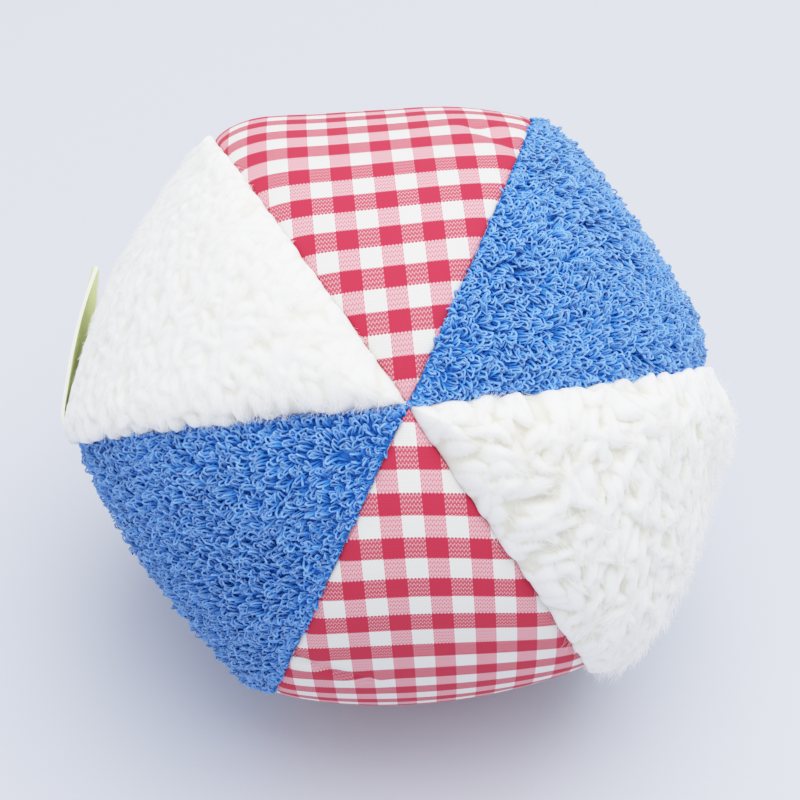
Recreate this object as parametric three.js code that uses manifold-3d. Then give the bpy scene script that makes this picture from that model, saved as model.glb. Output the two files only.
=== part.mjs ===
// A soft rattle ball for a baby: six cloth gores sewn together from pole to pole, stuffed with fibre,
// with a plastic rattle in the middle and a folded ribbon label caught in one seam.
// Millimetres, +Z up. The ball rests on its lower gingham gore, straight below its centre, and its front
// pole looks forwards (-Y) and up.

import * as THREE from "three";
import { mergeVertices } from "three/addons/utils/BufferGeometryUtils.js";
import Module from "manifold-3d";

const wasm = await Module();
wasm.setup();

// Ball
const seamRadius = 61; // polar axis to a seam, at the equator
const poleRadius = 57; // centre to the point where the gores meet
const frontPoleElevation = 45; // degrees above the horizon that the front pole looks
const poleTurn = 4.6; // degrees that the gores are turned about the polar axis
const restFlat = 0.5; // depth of the flat that the ball's weight presses

// Cloths: the ground is the woven or knitted base, and the pile stands on it
const ginghamGround = 0.8;
const terryGround = 0.9;
const terryPile = 2.6;
const plushGround = 0.9;
const plushPile = 7;
const pileRise = 4; // the pile reaches two thirds of its height this far from a seam

// How far the middle of each gore bulges over the straight line between its seams, at the equator
const terryRightCrown = 2;
const ginghamUpperCrown = 4.2;
const plushLeftCrown = 3;
const terryLeftCrown = 4;
const ginghamLowerCrown = 4.2;
const plushRightCrown = 4.5;

// Seams
const clearance = 0.3; // between pieces that lie against each other
const threadDiameter = 0.5;
const seamAllowance = 6; // cloth turned in behind a seam
const seamDip = 1; // how deep a seam draws the cloth in
const dipWidth = 2; // and how far from the seam that fades
const tipWidth = 0.8; // cloth left between the turned-in edges at a gore's tip
const tipAllowance = 1; // cloth turned in at a gore's tip, where it is trimmed
const poleTackDepth = 2; // the tack that draws the six tips together
const closingLength = 45; // the stretch left open for stuffing, then sewn by hand
const closingFromPole = 125; // degrees from the front pole to its middle

// Rattle
const capsuleRadius = 16;
const capsuleWall = 1.5;
const capsuleLap = 3; // height of the spigot that joins the two halves
const pelletDiameter = 6;
const pelletGap = 0.5;
const pelletsInRing = 5; // with one more in the middle

// Label: a ribbon folded in two, with its ends caught in the seam
const labelLength = 34;
const labelWidth = 18;
const labelThickness = 0.8;
const labelTipLift = 2.4; // how much further off the pile the fold stands than the sewn end

// Facets
const acrossSteps = 8; // over the width of a gore
const alongSteps = 13; // from a pole to the equator
const stuffingSteps = 4; // over the width of a gore
const threadSteps = 20; // from pole to pole
const threadSides = 6;
const roundSegments = 20;
const arcSteps = 6; // over a quarter circle
const labelSteps = 12; // along the label
const labelEndSteps = 4; // round each of its ends
const pelletSegments = 12;
const pelletRings = 8;

const cloths = {
  gingham: { ground: ginghamGround, pile: 0 },
  terry: { ground: terryGround, pile: terryPile },
  plush: { ground: plushGround, pile: plushPile },
};

const finishes = {
  gingham: { color: 0xcf4f68, roughness: 0.85, metalness: 0 },
  terry: { color: 0x5a92dc, roughness: 0.95, metalness: 0 },
  plush: { color: 0xf1f0ec, roughness: 1, metalness: 0 },
  thread: { color: 0xe9e6df, roughness: 0.7, metalness: 0 },
  stuffing: { color: 0xf4f2ea, roughness: 1, metalness: 0 },
  capsule: { color: 0xf3f1e6, roughness: 0.4, metalness: 0 },
  pellet: { color: 0xd8d6cf, roughness: 0.3, metalness: 0 },
  label: { color: 0xcfe0a0, roughness: 0.6, metalness: 0 },
};

// Anticlockwise as seen from the front pole
const gores = [
  { name: "terry_panel_right", finish: "terry", crown: terryRightCrown },
  { name: "gingham_panel_upper", finish: "gingham", crown: ginghamUpperCrown },
  { name: "plush_panel_left", finish: "plush", crown: plushLeftCrown },
  { name: "terry_panel_left", finish: "terry", crown: terryLeftCrown },
  { name: "gingham_panel_lower", finish: "gingham", crown: ginghamLowerCrown },
  { name: "plush_panel_right", finish: "plush", crown: plushRightCrown },
].map((panel) => ({ ...panel, ...cloths[panel.finish] }));
const labelledGore = 2; // the label is sewn into the seam after this gore and lies over it
const closingSeam = 1; // the seam before this gore holds the stuffing hole

const goreAngle = (2 * Math.PI) / gores.length;
const halfGore = goreAngle / 2;
const seamGap = threadDiameter + 2 * clearance;
const thickestGround = Math.max(ginghamGround, terryGround, plushGround);
const tipRadius = (seamGap / 2 + thickestGround) / Math.sin(halfGore) + tipWidth;
const tipAngle = Math.asin(tipRadius / seamRadius);

// Angles from the front pole: of the rings of a gore as far as the equator, and of all its rings
const frontAngles = steps(tipAngle, Math.PI / 2, alongSteps);
const rearAngles = frontAngles.slice(0, -1).reverse().map((theta) => Math.PI - theta);
const ringAngles = [...frontAngles, ...rearAngles];

const radians = THREE.MathUtils.degToRad;

function steps(from, to, count) {
  return Array.from({ length: count + 1 }, (_, i) => from + ((to - from) * i) / count);
}

// Where a point of a gore lies across it. theta is the angle from the front pole, across runs from -1 to 1
// between the gore's two edges, and inset is how far those edges stay from the planes of the seams.
function placeAcross(theta, across, inset) {
  const rho = seamRadius * Math.sin(theta);
  const halfWidth = (from) => rho * Math.sin(halfGore) - from / Math.cos(halfGore);
  const y = across * halfWidth(inset);
  const edge = halfWidth(seamGap / 2);
  return { rho, y, fromSeam: edge - Math.abs(y), share: y / edge };
}

// A point of a gore in the gore's own frame: +X out through its middle, +Y across it, +Z to the front pole.
// lift is how far the point stands off the outer face of the ground cloth, before the seams draw that in.
function gorePoint(panel, theta, across, inset, lift) {
  const { rho, y, share } = placeAcross(theta, across, inset);
  const height = panel.crown * Math.sin(theta) * (1 - share * share) + lift;
  const out = height * Math.sin(theta);
  return new THREE.Vector3(
    rho * Math.cos(halfGore) + out * Math.cos(across * halfGore),
    y + out * Math.sin(across * halfGore),
    poleRadius * Math.cos(theta) + height * Math.cos(theta),
  );
}

function dip(fromSeam) {
  return seamDip * Math.exp(-fromSeam / dipWidth);
}

function outerLift(panel, fromSeam) {
  return panel.pile * (1 - Math.exp(-fromSeam / pileRise)) - dip(fromSeam);
}

function outerPoint(panel, theta, across) {
  const inset = seamGap / 2;
  const { fromSeam } = placeAcross(theta, across, inset);
  return gorePoint(panel, theta, across, inset, outerLift(panel, fromSeam));
}

// A point on the back of the cloth, or further in behind it.
function innerPoint(panel, theta, across, behind = 0) {
  const inset = seamGap / 2 + panel.ground + behind;
  const { fromSeam } = placeAcross(theta, across, inset);
  return gorePoint(panel, theta, across, inset, -panel.ground - behind - dip(fromSeam));
}

// How deep the allowance reaches behind a seam: trimmed at the tips, full over most of the length.
function turnedIn(theta) {
  const fromTip = seamRadius * Math.sin(theta) - tipRadius;
  return seamDip + Math.min(seamAllowance, tipAllowance + fromTip / 2);
}

// Sides of a solid that runs through rings of equal length.
function ringSides(rings) {
  const size = rings[0].length;
  const faces = [];
  for (let j = 0; j < rings.length - 1; j++) {
    for (let i = 0; i < size; i++) {
      const [a, d] = [j * size + i, j * size + ((i + 1) % size)];
      faces.push(a, a + size, d + size, a, d + size, d);
    }
  }
  return faces;
}

function geometryOf(points, faces) {
  return new THREE.BufferGeometry().setFromPoints(points).setIndex(faces);
}

// A strip of cloth: each ring runs along its outer face and back along its inner face.
function stripGeometry(rings) {
  const size = rings[0].length;
  const faces = ringSides(rings);
  const last = (rings.length - 1) * size;
  for (let i = 0; i < size / 2 - 1; i++) {
    const [a, b, c, d] = [i, i + 1, size - 2 - i, size - 1 - i];
    faces.push(a, b, c, a, c, d);
    faces.push(last + a, last + c, last + b, last + a, last + d, last + c);
  }
  return geometryOf(rings.flat(), faces);
}

// A solid whose rings close on a point at each end.
function spindleGeometry(start, rings, end) {
  const size = rings[0].length;
  const faces = ringSides(rings);
  const last = (rings.length - 1) * size;
  const [startIndex, endIndex] = [rings.length * size, rings.length * size + 1];
  for (let i = 0; i < size; i++) {
    const next = (i + 1) % size;
    faces.push(startIndex, i, next, last + i, endIndex, last + next);
  }
  return geometryOf([...rings.flat(), start, end], faces);
}

function goreGeometry(panel) {
  const acrosses = steps(-1, 1, acrossSteps).map((t) => Math.sin((t * Math.PI) / 2));
  const rings = ringAngles.map((theta) => {
    const hem = (across, inset) => gorePoint(panel, theta, across, inset, -turnedIn(theta));
    const [face, back] = [seamGap / 2, seamGap / 2 + panel.ground];
    return [
      hem(-1, face),
      ...acrosses.map((across) => outerPoint(panel, theta, across)),
      hem(1, face),
      hem(1, back),
      ...acrosses.map((across) => innerPoint(panel, theta, -across)),
      hem(-1, back),
    ];
  });
  return stripGeometry(rings);
}

// Half of the stuffing: it fills the gores, leaves room for the turned-in edges and holds half of the rattle.
function stuffingGeometry() {
  const acrosses = steps(-1, 1, stuffingSteps);
  const polarAxis = new THREE.Vector3(0, 0, 1);
  const ringRound = (pointsIn) =>
    gores.flatMap((panel, i) =>
      pointsIn(panel).map((p) => p.applyAxisAngle(polarAxis, goreAngle * (i + 0.5))));
  const behindEdge = (panel, theta, across, depth) =>
    gorePoint(panel, theta, across, seamGap / 2 + panel.ground + clearance, -depth - clearance);
  const fullRing = (theta) => ringRound((panel) => [
    behindEdge(panel, theta, -1, turnedIn(theta)),
    ...acrosses.map((across) => innerPoint(panel, theta, across, clearance)),
    behindEdge(panel, theta, 1, turnedIn(theta)),
  ]);
  // Under a pole the stuffing is flat and lies below every turned-in edge.
  const [tip, first] = frontAngles;
  const flatRing = ringRound((panel) => steps(-1, 1, stuffingSteps + 2).map((across) =>
    behindEdge(panel, (tip + first) / 2, across, turnedIn(first))));
  const outerRings = [flatRing, ...frontAngles.slice(1).map(fullRing)];
  const split = outerRings.at(-1);
  split.forEach((p) => p.setZ(clearance / 2));
  const azimuths = split.map((p) => Math.atan2(p.y, p.x));
  const facetSag = Math.cos(Math.PI / 4 / arcSteps) * Math.cos(halfGore / stuffingSteps);
  const pocketRadius = (capsuleRadius + clearance) / facetSag;
  const pocketRings = steps(0, Math.PI / 2, arcSteps)
    .slice(0, -1)
    .map((rise) =>
      azimuths.map((azimuth) => {
        const [rho, z] = [pocketRadius * Math.cos(rise), pocketRadius * Math.sin(rise)];
        return new THREE.Vector3(rho * Math.cos(azimuth), rho * Math.sin(azimuth), z + clearance / 2);
      }),
    );
  const lowest = Math.min(...flatRing.map((p) => p.z));
  const start = new THREE.Vector3(0, 0, Math.min(lowest, poleRadius - poleTackDepth - clearance));
  const end = new THREE.Vector3(0, 0, pocketRadius + clearance / 2);
  return spindleGeometry(start, [...outerRings, ...pocketRings], end);
}

// The line of a seam's thread, in the plane of the seam, between two angles from the front pole.
class SeamLine extends THREE.Curve {
  constructor(from, to) {
    super();
    this.from = from;
    this.to = to;
  }

  getPoint(t) {
    const theta = THREE.MathUtils.lerp(this.from, this.to, t);
    const lift = -seamDip - threadDiameter / 2;
    return new THREE.Vector3(
      (seamRadius + lift) * Math.sin(theta),
      0,
      (poleRadius + lift) * Math.cos(theta),
    );
  }
}

function threadGeometry(from, to) {
  const section = new THREE.Shape().absarc(0, 0, threadDiameter / 2, 0, 2 * Math.PI);
  const share = (to - from) / (Math.PI - 2 * tipAngle);
  return new THREE.ExtrudeGeometry(section, {
    curveSegments: threadSides / 2,
    steps: Math.ceil(threadSteps * share),
    bevelEnabled: false,
    extrudePath: new SeamLine(from, to),
  });
}

// The tack that closes the hole between the six tips: a flat bead of thread.
function poleTackGeometry() {
  const radius = tipRadius * Math.cos(halfGore) - clearance;
  const bead = steps(-Math.PI / 2, Math.PI / 2, arcSteps).map((a) =>
    new THREE.Vector2(Math.abs(radius * Math.cos(a)), (poleTackDepth / 2) * (Math.sin(a) - 1)));
  return new THREE.LatheGeometry(bead, roundSegments);
}

function arc(radius, from, to) {
  return steps(from, to, arcSteps).map(
    (a) => new THREE.Vector2(Math.abs(radius * Math.cos(a)), radius * Math.sin(a)),
  );
}

// The lower half has a spigot round its inside, and the upper half has the rebate that takes it.
function capsuleHalfGeometry(half) {
  const inner = capsuleRadius - capsuleWall;
  const lap = capsuleRadius - capsuleWall / 2;
  const at = (x, y) => new THREE.Vector2(x, y);
  const quarter = Math.PI / 2;
  const profiles = {
    lower: () => [
      at(0, -capsuleRadius),
      ...arc(capsuleRadius, -quarter, 0).slice(1),
      at(lap - clearance / 2, 0),
      at(lap - clearance / 2, capsuleLap),
      at(inner, capsuleLap),
      ...arc(inner, 0, -quarter).slice(0, -1),
      at(0, -inner),
    ],
    upper: () => {
      const ceiling = capsuleLap + clearance;
      return [
        at(0, inner),
        ...arc(inner, quarter, Math.asin(ceiling / inner)).slice(1),
        at(lap + clearance / 2, ceiling),
        at(lap + clearance / 2, clearance),
        ...arc(capsuleRadius, Math.asin(clearance / capsuleRadius), quarter).slice(0, -1),
        at(0, capsuleRadius),
      ];
    },
  };
  return new THREE.LatheGeometry(profiles[half](), roundSegments);
}

// Where the pellets lie when the ball rests, about the rattle's centre, and how far each can hop.
function pelletLanes() {
  const facetSag = Math.cos(Math.PI / roundSegments) * Math.cos(Math.PI / 4 / arcSteps);
  const reach = (capsuleRadius - capsuleWall) * facetSag - pelletDiameter / 2 - clearance;
  const pitch = pelletDiameter + pelletGap;
  const ring = Math.max(pitch, pitch / 2 / Math.sin(Math.PI / pelletsInRing));
  const lanes = [new THREE.Vector2(0, 0)];
  for (let i = 0; i < pelletsInRing; i++) {
    lanes.push(new THREE.Vector2(ring, 0).rotateAround(lanes[0], (2 * Math.PI * i) / pelletsInRing));
  }
  return lanes.map((lane) => {
    const drop = Math.sqrt(reach * reach - lane.lengthSq());
    return { place: new THREE.Vector3(lane.x, lane.y, -drop), hop: 2 * drop };
  });
}

// The label's middle line over its gore's equator, from the sewn end to the fold, in the gore's own frame.
function labelLine() {
  const panel = gores[labelledGore];
  const theta = Math.PI / 2;
  const gap = clearance + labelThickness / 2;
  const overGore = steps(1, -1, 4 * labelSteps).map((across) => {
    const { fromSeam } = placeAcross(theta, across, seamGap / 2);
    const seat = Math.max(outerLift(panel, fromSeam), 0);
    const along = (1 - across) / 2;
    return gorePoint(panel, theta, across, 0, seat + gap + labelTipLift * along * along);
  });
  const line = new THREE.CatmullRomCurve3(overGore);
  const share = labelLength / line.getLength();
  return steps(0, share, labelSteps).map((u) => {
    const [point, tangent] = [line.getPointAt(u), line.getTangentAt(u)];
    return { point, heading: Math.atan2(tangent.y, tangent.x) };
  });
}

function labelGeometry() {
  const line = labelLine();
  const beside = ({ point, heading }, turn) => new THREE.Vector2(
    point.x + (labelThickness / 2) * Math.cos(heading + turn),
    point.y + (labelThickness / 2) * Math.sin(heading + turn),
  );
  const roundEnd = (end, from) =>
    steps(from, from + Math.PI, labelEndSteps).slice(1, -1).map((turn) => beside(end, turn));
  const outline = [
    ...line.map((place) => beside(place, -Math.PI / 2)),
    ...roundEnd(line.at(-1), -Math.PI / 2),
    ...line.map((place) => beside(place, Math.PI / 2)).reverse(),
    ...roundEnd(line[0], Math.PI / 2),
  ];
  const acrossRibbon = { depth: labelWidth, bevelEnabled: false };
  return new THREE.ExtrudeGeometry(new THREE.Shape(outline), acrossRibbon).translate(0, 0, -labelWidth / 2);
}

function solidOf(geometry) {
  const bare = geometry.clone().deleteAttribute("normal").deleteAttribute("uv");
  const merged = mergeVertices(bare, 1e-4);
  return new wasm.Manifold(new wasm.Mesh({
    numProp: 3,
    vertProperties: merged.attributes.position.array,
    triVerts: new Uint32Array(merged.index.array),
  }));
}

function geometryFrom(solid) {
  const { vertProperties, triVerts } = solid.getMesh();
  return new THREE.BufferGeometry()
    .setAttribute("position", new THREE.BufferAttribute(vertProperties, 3))
    .setIndex(new THREE.BufferAttribute(triVerts, 1));
}

function addPiece(parent, name, geometry, finish) {
  geometry.computeVertexNormals();
  const mesh = new THREE.Mesh(geometry, new THREE.MeshStandardMaterial(finishes[finish]));
  mesh.name = name;
  parent.add(mesh);
  return mesh;
}

const rattleBall = new THREE.Group();
const ball = new THREE.Group();
ball.rotation.set(radians(90 - frontPoleElevation), 0, radians(poleTurn));
rattleBall.add(ball);

// Gores
const panels = gores.map((panel, i) => {
  const mesh = addPiece(ball, panel.name, goreGeometry(panel), panel.finish);
  mesh.rotation.z = goreAngle * (i + 0.5);
  return mesh;
});

// The ball stands on a flat pressed into its lowest gore, at the height of the floor.
const lowestOf = (mesh) => new THREE.Box3().setFromObject(mesh, true).min.z;
rattleBall.updateMatrixWorld(true);
ball.position.z = -Math.min(...panels.map(lowestOf)) - restFlat;
rattleBall.updateMatrixWorld(true);
panels.filter((mesh) => lowestOf(mesh) < 0).forEach((mesh) => {
  const underFloor = new THREE.BoxGeometry(4 * seamRadius, 4 * seamRadius, seamRadius)
    .translate(0, 0, -seamRadius / 2)
    .applyMatrix4(mesh.matrixWorld.clone().invert());
  mesh.geometry = geometryFrom(solidOf(mesh.geometry).subtract(solidOf(underFloor)));
  mesh.geometry.computeVertexNormals();
});

// Seam threads, and the hand-sewn thread that closes the stuffing hole
const gapAngle = clearance / seamRadius;
const closingHalf = closingLength / 2 / seamRadius;
const closingFrom = radians(closingFromPole) - closingHalf;
const closingTo = radians(closingFromPole) + closingHalf;
const [seamFrom, seamTo] = [tipAngle + gapAngle, Math.PI - tipAngle - gapAngle];
gores.forEach((_, i) => {
  const name = `seam_thread_${i + 1}`;
  const runs = i === closingSeam
    ? [
        [`${name}_front`, seamFrom, closingFrom - gapAngle],
        ["closing_thread", closingFrom, closingTo],
        [`${name}_rear`, closingTo + gapAngle, seamTo],
      ]
    : [[name, seamFrom, seamTo]];
  runs.forEach(([run, from, to]) => {
    addPiece(ball, run, threadGeometry(from, to), "thread").rotation.z = goreAngle * i;
  });
});

// Tacks at the poles
[["pole_tack_front", 1], ["pole_tack_rear", -1]].forEach(([name, side]) => {
  const tack = addPiece(ball, name, poleTackGeometry(), "thread");
  tack.rotation.x = (side * Math.PI) / 2;
  tack.position.z = side * poleRadius;
});

// Stuffing
addPiece(ball, "stuffing_front", stuffingGeometry(), "stuffing");
addPiece(ball, "stuffing_rear", stuffingGeometry(), "stuffing").scale.z = -1;

// Rattle, with its parting line level when the ball rests
const rattle = new THREE.Group();
rattle.position.copy(ball.position);
rattleBall.add(rattle);
["lower", "upper"].forEach((half) => {
  addPiece(rattle, `rattle_capsule_${half}`, capsuleHalfGeometry(half), "capsule").rotation.x = Math.PI / 2;
});
const lanes = pelletLanes();
lanes.forEach(({ place }, i) => {
  const bead = new THREE.SphereGeometry(pelletDiameter / 2, pelletSegments, pelletRings);
  addPiece(rattle, `rattle_pellet_${i + 1}`, bead, "pellet").position.copy(place);
});

// Label, which turns about the line where it leaves the seam
const label = addPiece(ball, "side_label", labelGeometry(), "label");
label.rotation.z = goreAngle * (labelledGore + 0.5);

// Where the label turns and how far the pellets hop
rattleBall.updateMatrixWorld(true);
rattleBall.userData = {
  centreHeight: ball.position.z,
  labelPivot: labelLine()[0].point.applyMatrix4(label.matrixWorld).toArray(),
  polarAxis: new THREE.Vector3(0, 0, 1).transformDirection(ball.matrixWorld).toArray(),
  pelletHops: lanes.map(({ hop }) => hop),
};

export default rattleBall;
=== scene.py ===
# Looks of a soft rattle ball: two gingham, two terry and two plush gores sewn from pole to pole,
# fibre stuffing, a plastic rattle and a ribbon label. Metres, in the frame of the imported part.
import math

import bpy
import numpy as np
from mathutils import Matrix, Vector


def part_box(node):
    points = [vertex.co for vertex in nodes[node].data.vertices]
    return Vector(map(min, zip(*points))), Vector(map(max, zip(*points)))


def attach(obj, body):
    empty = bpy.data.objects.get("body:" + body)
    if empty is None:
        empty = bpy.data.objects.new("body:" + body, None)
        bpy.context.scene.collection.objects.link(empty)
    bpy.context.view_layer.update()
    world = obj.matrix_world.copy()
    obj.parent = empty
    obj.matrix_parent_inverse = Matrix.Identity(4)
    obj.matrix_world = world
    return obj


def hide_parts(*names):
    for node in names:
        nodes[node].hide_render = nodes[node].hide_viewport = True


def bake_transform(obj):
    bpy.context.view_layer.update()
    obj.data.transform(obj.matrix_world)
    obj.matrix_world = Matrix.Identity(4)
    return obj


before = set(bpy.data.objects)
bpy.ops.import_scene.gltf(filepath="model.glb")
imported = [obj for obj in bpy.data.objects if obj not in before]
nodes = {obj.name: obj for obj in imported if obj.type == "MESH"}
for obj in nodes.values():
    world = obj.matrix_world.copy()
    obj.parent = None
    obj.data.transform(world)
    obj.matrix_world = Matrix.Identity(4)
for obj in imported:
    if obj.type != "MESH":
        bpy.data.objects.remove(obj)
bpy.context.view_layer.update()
mm = 0.001
print("frame loaded,", len(nodes), "nodes")

# The ball as it was sewn. Gores are listed anticlockwise round the front pole.
ball = dict(
    seamRadius=61 * mm,  # polar axis to a seam, at the equator
    poleRadius=57 * mm,  # centre to the point where the gores meet
    poleElevation=45,  # degrees above the horizon that the front pole looks
    poleTurn=4.6,  # degrees that the gores are turned about the polar axis
    seamDip=0.6 * mm,  # how deep a seam draws the cloth in
    dipWidth=2 * mm,
    seamRoll=0.3 * mm,  # the cloth's own bend where it turns into the seam
    rollWidth=0.35 * mm,
    allowance=6 * mm,  # cloth turned in behind a seam
    tipRadius=3.7 * mm,  # inside this the allowance is trimmed away
)
gores = [
    dict(name="terry_panel_right", ground=0.9 * mm, pile=2.6 * mm, crown=2.0 * mm),
    dict(name="gingham_panel_upper", ground=0.8 * mm, pile=0.0, crown=4.2 * mm),
    dict(name="plush_panel_left", ground=0.9 * mm, pile=7.0 * mm, crown=3.0 * mm),
    dict(name="terry_panel_left", ground=0.9 * mm, pile=2.6 * mm, crown=4.0 * mm),
    dict(name="gingham_panel_lower", ground=0.8 * mm, pile=0.0, crown=4.2 * mm),
    dict(name="plush_panel_right", ground=0.9 * mm, pile=7.0 * mm, crown=4.5 * mm),
]
halfGore = math.pi / len(gores)
centre = np.array((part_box("rattle_capsule_lower")[0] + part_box("rattle_capsule_upper")[1]) / 2)
tilt = math.radians(90 - ball["poleElevation"])
tiltTurn = np.array([
    [1, 0, 0],
    [0, math.cos(tilt), -math.sin(tilt)],
    [0, math.sin(tilt), math.cos(tilt)],
])
for i, gore in enumerate(gores):
    turn = math.radians(ball["poleTurn"]) + 2 * halfGore * (i + 0.5)
    spin = np.array([
        [math.cos(turn), -math.sin(turn), 0],
        [math.sin(turn), math.cos(turn), 0],
        [0, 0, 1],
    ])
    gore["turn"] = tiltTurn @ spin  # from the gore's frame, X out, Y across, Z to the front pole
goreNamed = {gore["name"]: gore for gore in gores}
poleAxis = tiltTurn[:, 2]
imageUp = np.cross(poleAxis, [1, 0, 0])  # up in a view along the polar axis


# Node and mesh helpers

# An sRGB hex colour as linear light: a plain share when dark, and else a power of 2.4
def linear(hexColour):
    parts = [int(hexColour[k:k + 2], 16) / 255 for k in (1, 3, 5)]
    return tuple(c / 12.92 if c <= 0.04045 else ((c + 0.055) / 1.055) ** 2.4 for c in parts) + (1,)


# Gives a node its inputs, by name or in order. A socket or a node's first live output is joined, and any
# other value is set.
def plug(tree, node, inputs):
    for socket, value in inputs.items() if isinstance(inputs, dict) else enumerate(inputs):
        if isinstance(value, bpy.types.Node):
            value = next(out for out in value.outputs if out.enabled)
        if isinstance(value, bpy.types.NodeSocket):
            tree.links.new(value, node.inputs[socket])
        else:
            node.inputs[socket].default_value = value


# Adds a shader node with its settings and links
def addNode(tree, kind, inputs=(), **settings):
    node = tree.nodes.new("ShaderNode" + kind)
    for name, value in settings.items():
        setattr(node, name, value)
    plug(tree, node, inputs)
    return node


# A material whose shader has these sockets set
def newMaterial(name, sockets):
    material = bpy.data.materials.new(name)
    material.use_nodes = True
    tree = material.node_tree
    shader = tree.nodes["Principled BSDF"]
    plug(tree, shader, sockets)
    return material, tree, shader


# A stuff with a random grain: its colour runs between two shades, and the grain can stand up as a bump
def grained(name, sockets, shades, size, bump=None, **noise):
    material, tree, shader = newMaterial(name, sockets)
    place = addNode(tree, "TexCoord").outputs["Object"]
    grain = addNode(tree, "TexNoise", {"Vector": place, "Scale": 1 / size, **noise})
    deep, pale = map(linear, shades)
    plug(tree, shader, {"Base Color": addNode(tree, "Mix", {0: grain, 6: deep, 7: pale}, data_type="RGBA")})
    if bump:
        plug(tree, shader, {"Normal": addNode(tree, "Bump", {**bump, "Height": grain})})
    return material


# Quads of a grid, row by row. A looped grid joins its last column to its first.
def gridFaces(rows, columns, looped=False):
    row = np.arange(rows - 1)[:, None] * columns
    column = np.arange(columns if looped else columns - 1)[None, :]
    after = (column + 1) % columns
    quads = np.stack([row + column, row + after, row + columns + after, row + columns + column], -1)
    return quads.reshape(-1, 4)


# Puts points, faces, a UV map in millimetres and values for each point into a new piece
def makePiece(name, points, faceSets, material, uv=None, values=None, smooth=True):
    points = np.reshape(points, (-1, 3))
    mesh = bpy.data.meshes.new(name)
    sizes = np.concatenate([np.full(len(f), f.shape[1]) for f in faceSets])
    corners = np.concatenate([f.ravel() for f in faceSets]).astype(np.int32)
    mesh.vertices.add(len(points))
    mesh.vertices.foreach_set("co", points.astype(np.float32).ravel())
    mesh.loops.add(len(corners))
    mesh.loops.foreach_set("vertex_index", corners)
    mesh.polygons.add(len(sizes))
    mesh.polygons.foreach_set("loop_start", (np.cumsum(sizes) - sizes).astype(np.int32))
    mesh.polygons.foreach_set("use_smooth", np.full(len(sizes), smooth))
    if uv is not None:
        layer = mesh.uv_layers.new(name="cloth")
        layer.data.foreach_set("uv", np.reshape(uv, (-1, 2)).astype(np.float32)[corners].ravel())
    for key, numbers in (values or {}).items():
        isVector = np.size(numbers) == 3 * len(points)
        kind, field = ("FLOAT_VECTOR", "vector") if isVector else ("FLOAT", "value")
        attribute = mesh.attributes.new(key, kind, "POINT")
        attribute.data.foreach_set(field, np.asarray(numbers, np.float32).ravel())
    mesh.update(calc_edges=True)
    mesh.materials.append(material)
    piece = bpy.data.objects.new(name, mesh)
    bpy.context.scene.collection.objects.link(piece)
    return piece


# A piece rides the ball. It may take the place of a solid.
def fit(piece, replaced=None):
    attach(piece, "ball")
    if replaced:
        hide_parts(replaced)


# Vectors made one long
def unit(vectors):
    return vectors / np.maximum(np.linalg.norm(vectors, axis=-1, keepdims=True), 1e-12)


# A smooth random field, about -1 to 1: sine waves in random directions, added up
def waves(points, wavelength, rng, count=7):
    directions = unit(rng.normal(size=(count, 3)))
    phases = rng.uniform(0, 2 * math.pi, count)
    return np.sin(points @ directions.T * (2 * math.pi / wavelength) + phases).sum(-1) / math.sqrt(count)


# Cloth and pile press flat where they meet the floor: below the depth, height dies away exponentially
def pressed(points, depth):
    height = points[..., 2:]
    low = depth * np.exp(np.minimum(height / depth - 1, 0))
    return np.concatenate([points[..., :2], np.where(height < depth, low, height)], -1)


# Tubes: each ring is an ellipse square to its path, wide along the given side direction.
# paths is (tube, ring, 3) and wide and thick are the half sizes, (tube, ring).
def tubeRings(paths, wide, thick, sides, across):
    along = unit(np.gradient(paths, axis=1))
    side = unit(across - (across * along).sum(-1, keepdims=True) * along)
    up = np.cross(along, side)
    angle = 2 * math.pi * np.arange(sides) / sides
    spread = wide[..., None, None] * np.cos(angle)[:, None] * side[:, :, None, :]
    rise = thick[..., None, None] * np.sin(angle)[:, None] * up[:, :, None, :]
    return paths[:, :, None, :] + spread + rise


# Faces of closed tubes: quads from ring to ring, and a flat cap at both ends
def tubeFaces(tubes, rings, sides):
    first = np.arange(tubes)[:, None, None] * rings * sides
    walls = (first + gridFaces(rings, sides, looped=True)[None]).reshape(-1, 4)
    ends = np.arange(sides)
    starts = first[:, 0] + ends[::-1]
    stops = first[:, 0] + (rings - 1) * sides + ends
    return [walls, np.concatenate([starts, stops])]


# The cloth surface

# How far the cloth is drawn in at this distance from a seam
def seamDraw(fromSeam):
    dip = ball["seamDip"] * np.exp(-fromSeam / ball["dipWidth"])
    return dip + ball["seamRoll"] * np.exp(-fromSeam / ball["rollWidth"])


# Where the stuffing has settled unevenly: degrees round the polar axis, how far the cloth stands out there,
# and over how many degrees
settled = (
    (5, -4.0 * mm, 7), (64, -0.6 * mm, 12), (92, -0.6 * mm, 9), (118, 3.0 * mm, 10), (130, -1.2 * mm, 4),
    (138, -1.5 * mm, 12), (178, -0.4 * mm, 12), (184, 0.7 * mm, 5), (225, -1.6 * mm, 26), (320, 1.2 * mm, 14),
    (346, -1.6 * mm, 10),
)


# Moves points away from the polar axis by a sum of bell curves of the direction, strongest at the equator
def settle(points):
    local = (points - centre) @ tiltTurn
    reach = np.hypot(local[..., 0], local[..., 1])
    direction = np.degrees(np.arctan2(local[..., 1], local[..., 0]))
    push = 0
    for degrees, far, width in settled:
        apart = (direction - degrees + 180) % 360 - 180
        push = push + far * np.exp(-(apart / width) ** 2)
    push = push * np.minimum(reach / ball["seamRadius"], 1) ** 3
    sideways = local[..., :2] * (push / np.maximum(reach, 1e-9))[..., None]
    return points + sideways @ tiltTurn[:, :2].T


# Distance from the polar axis to the seams at an angle from the front pole
def axisReach(theta):
    return ball["seamRadius"] * np.sin(theta)


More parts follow.
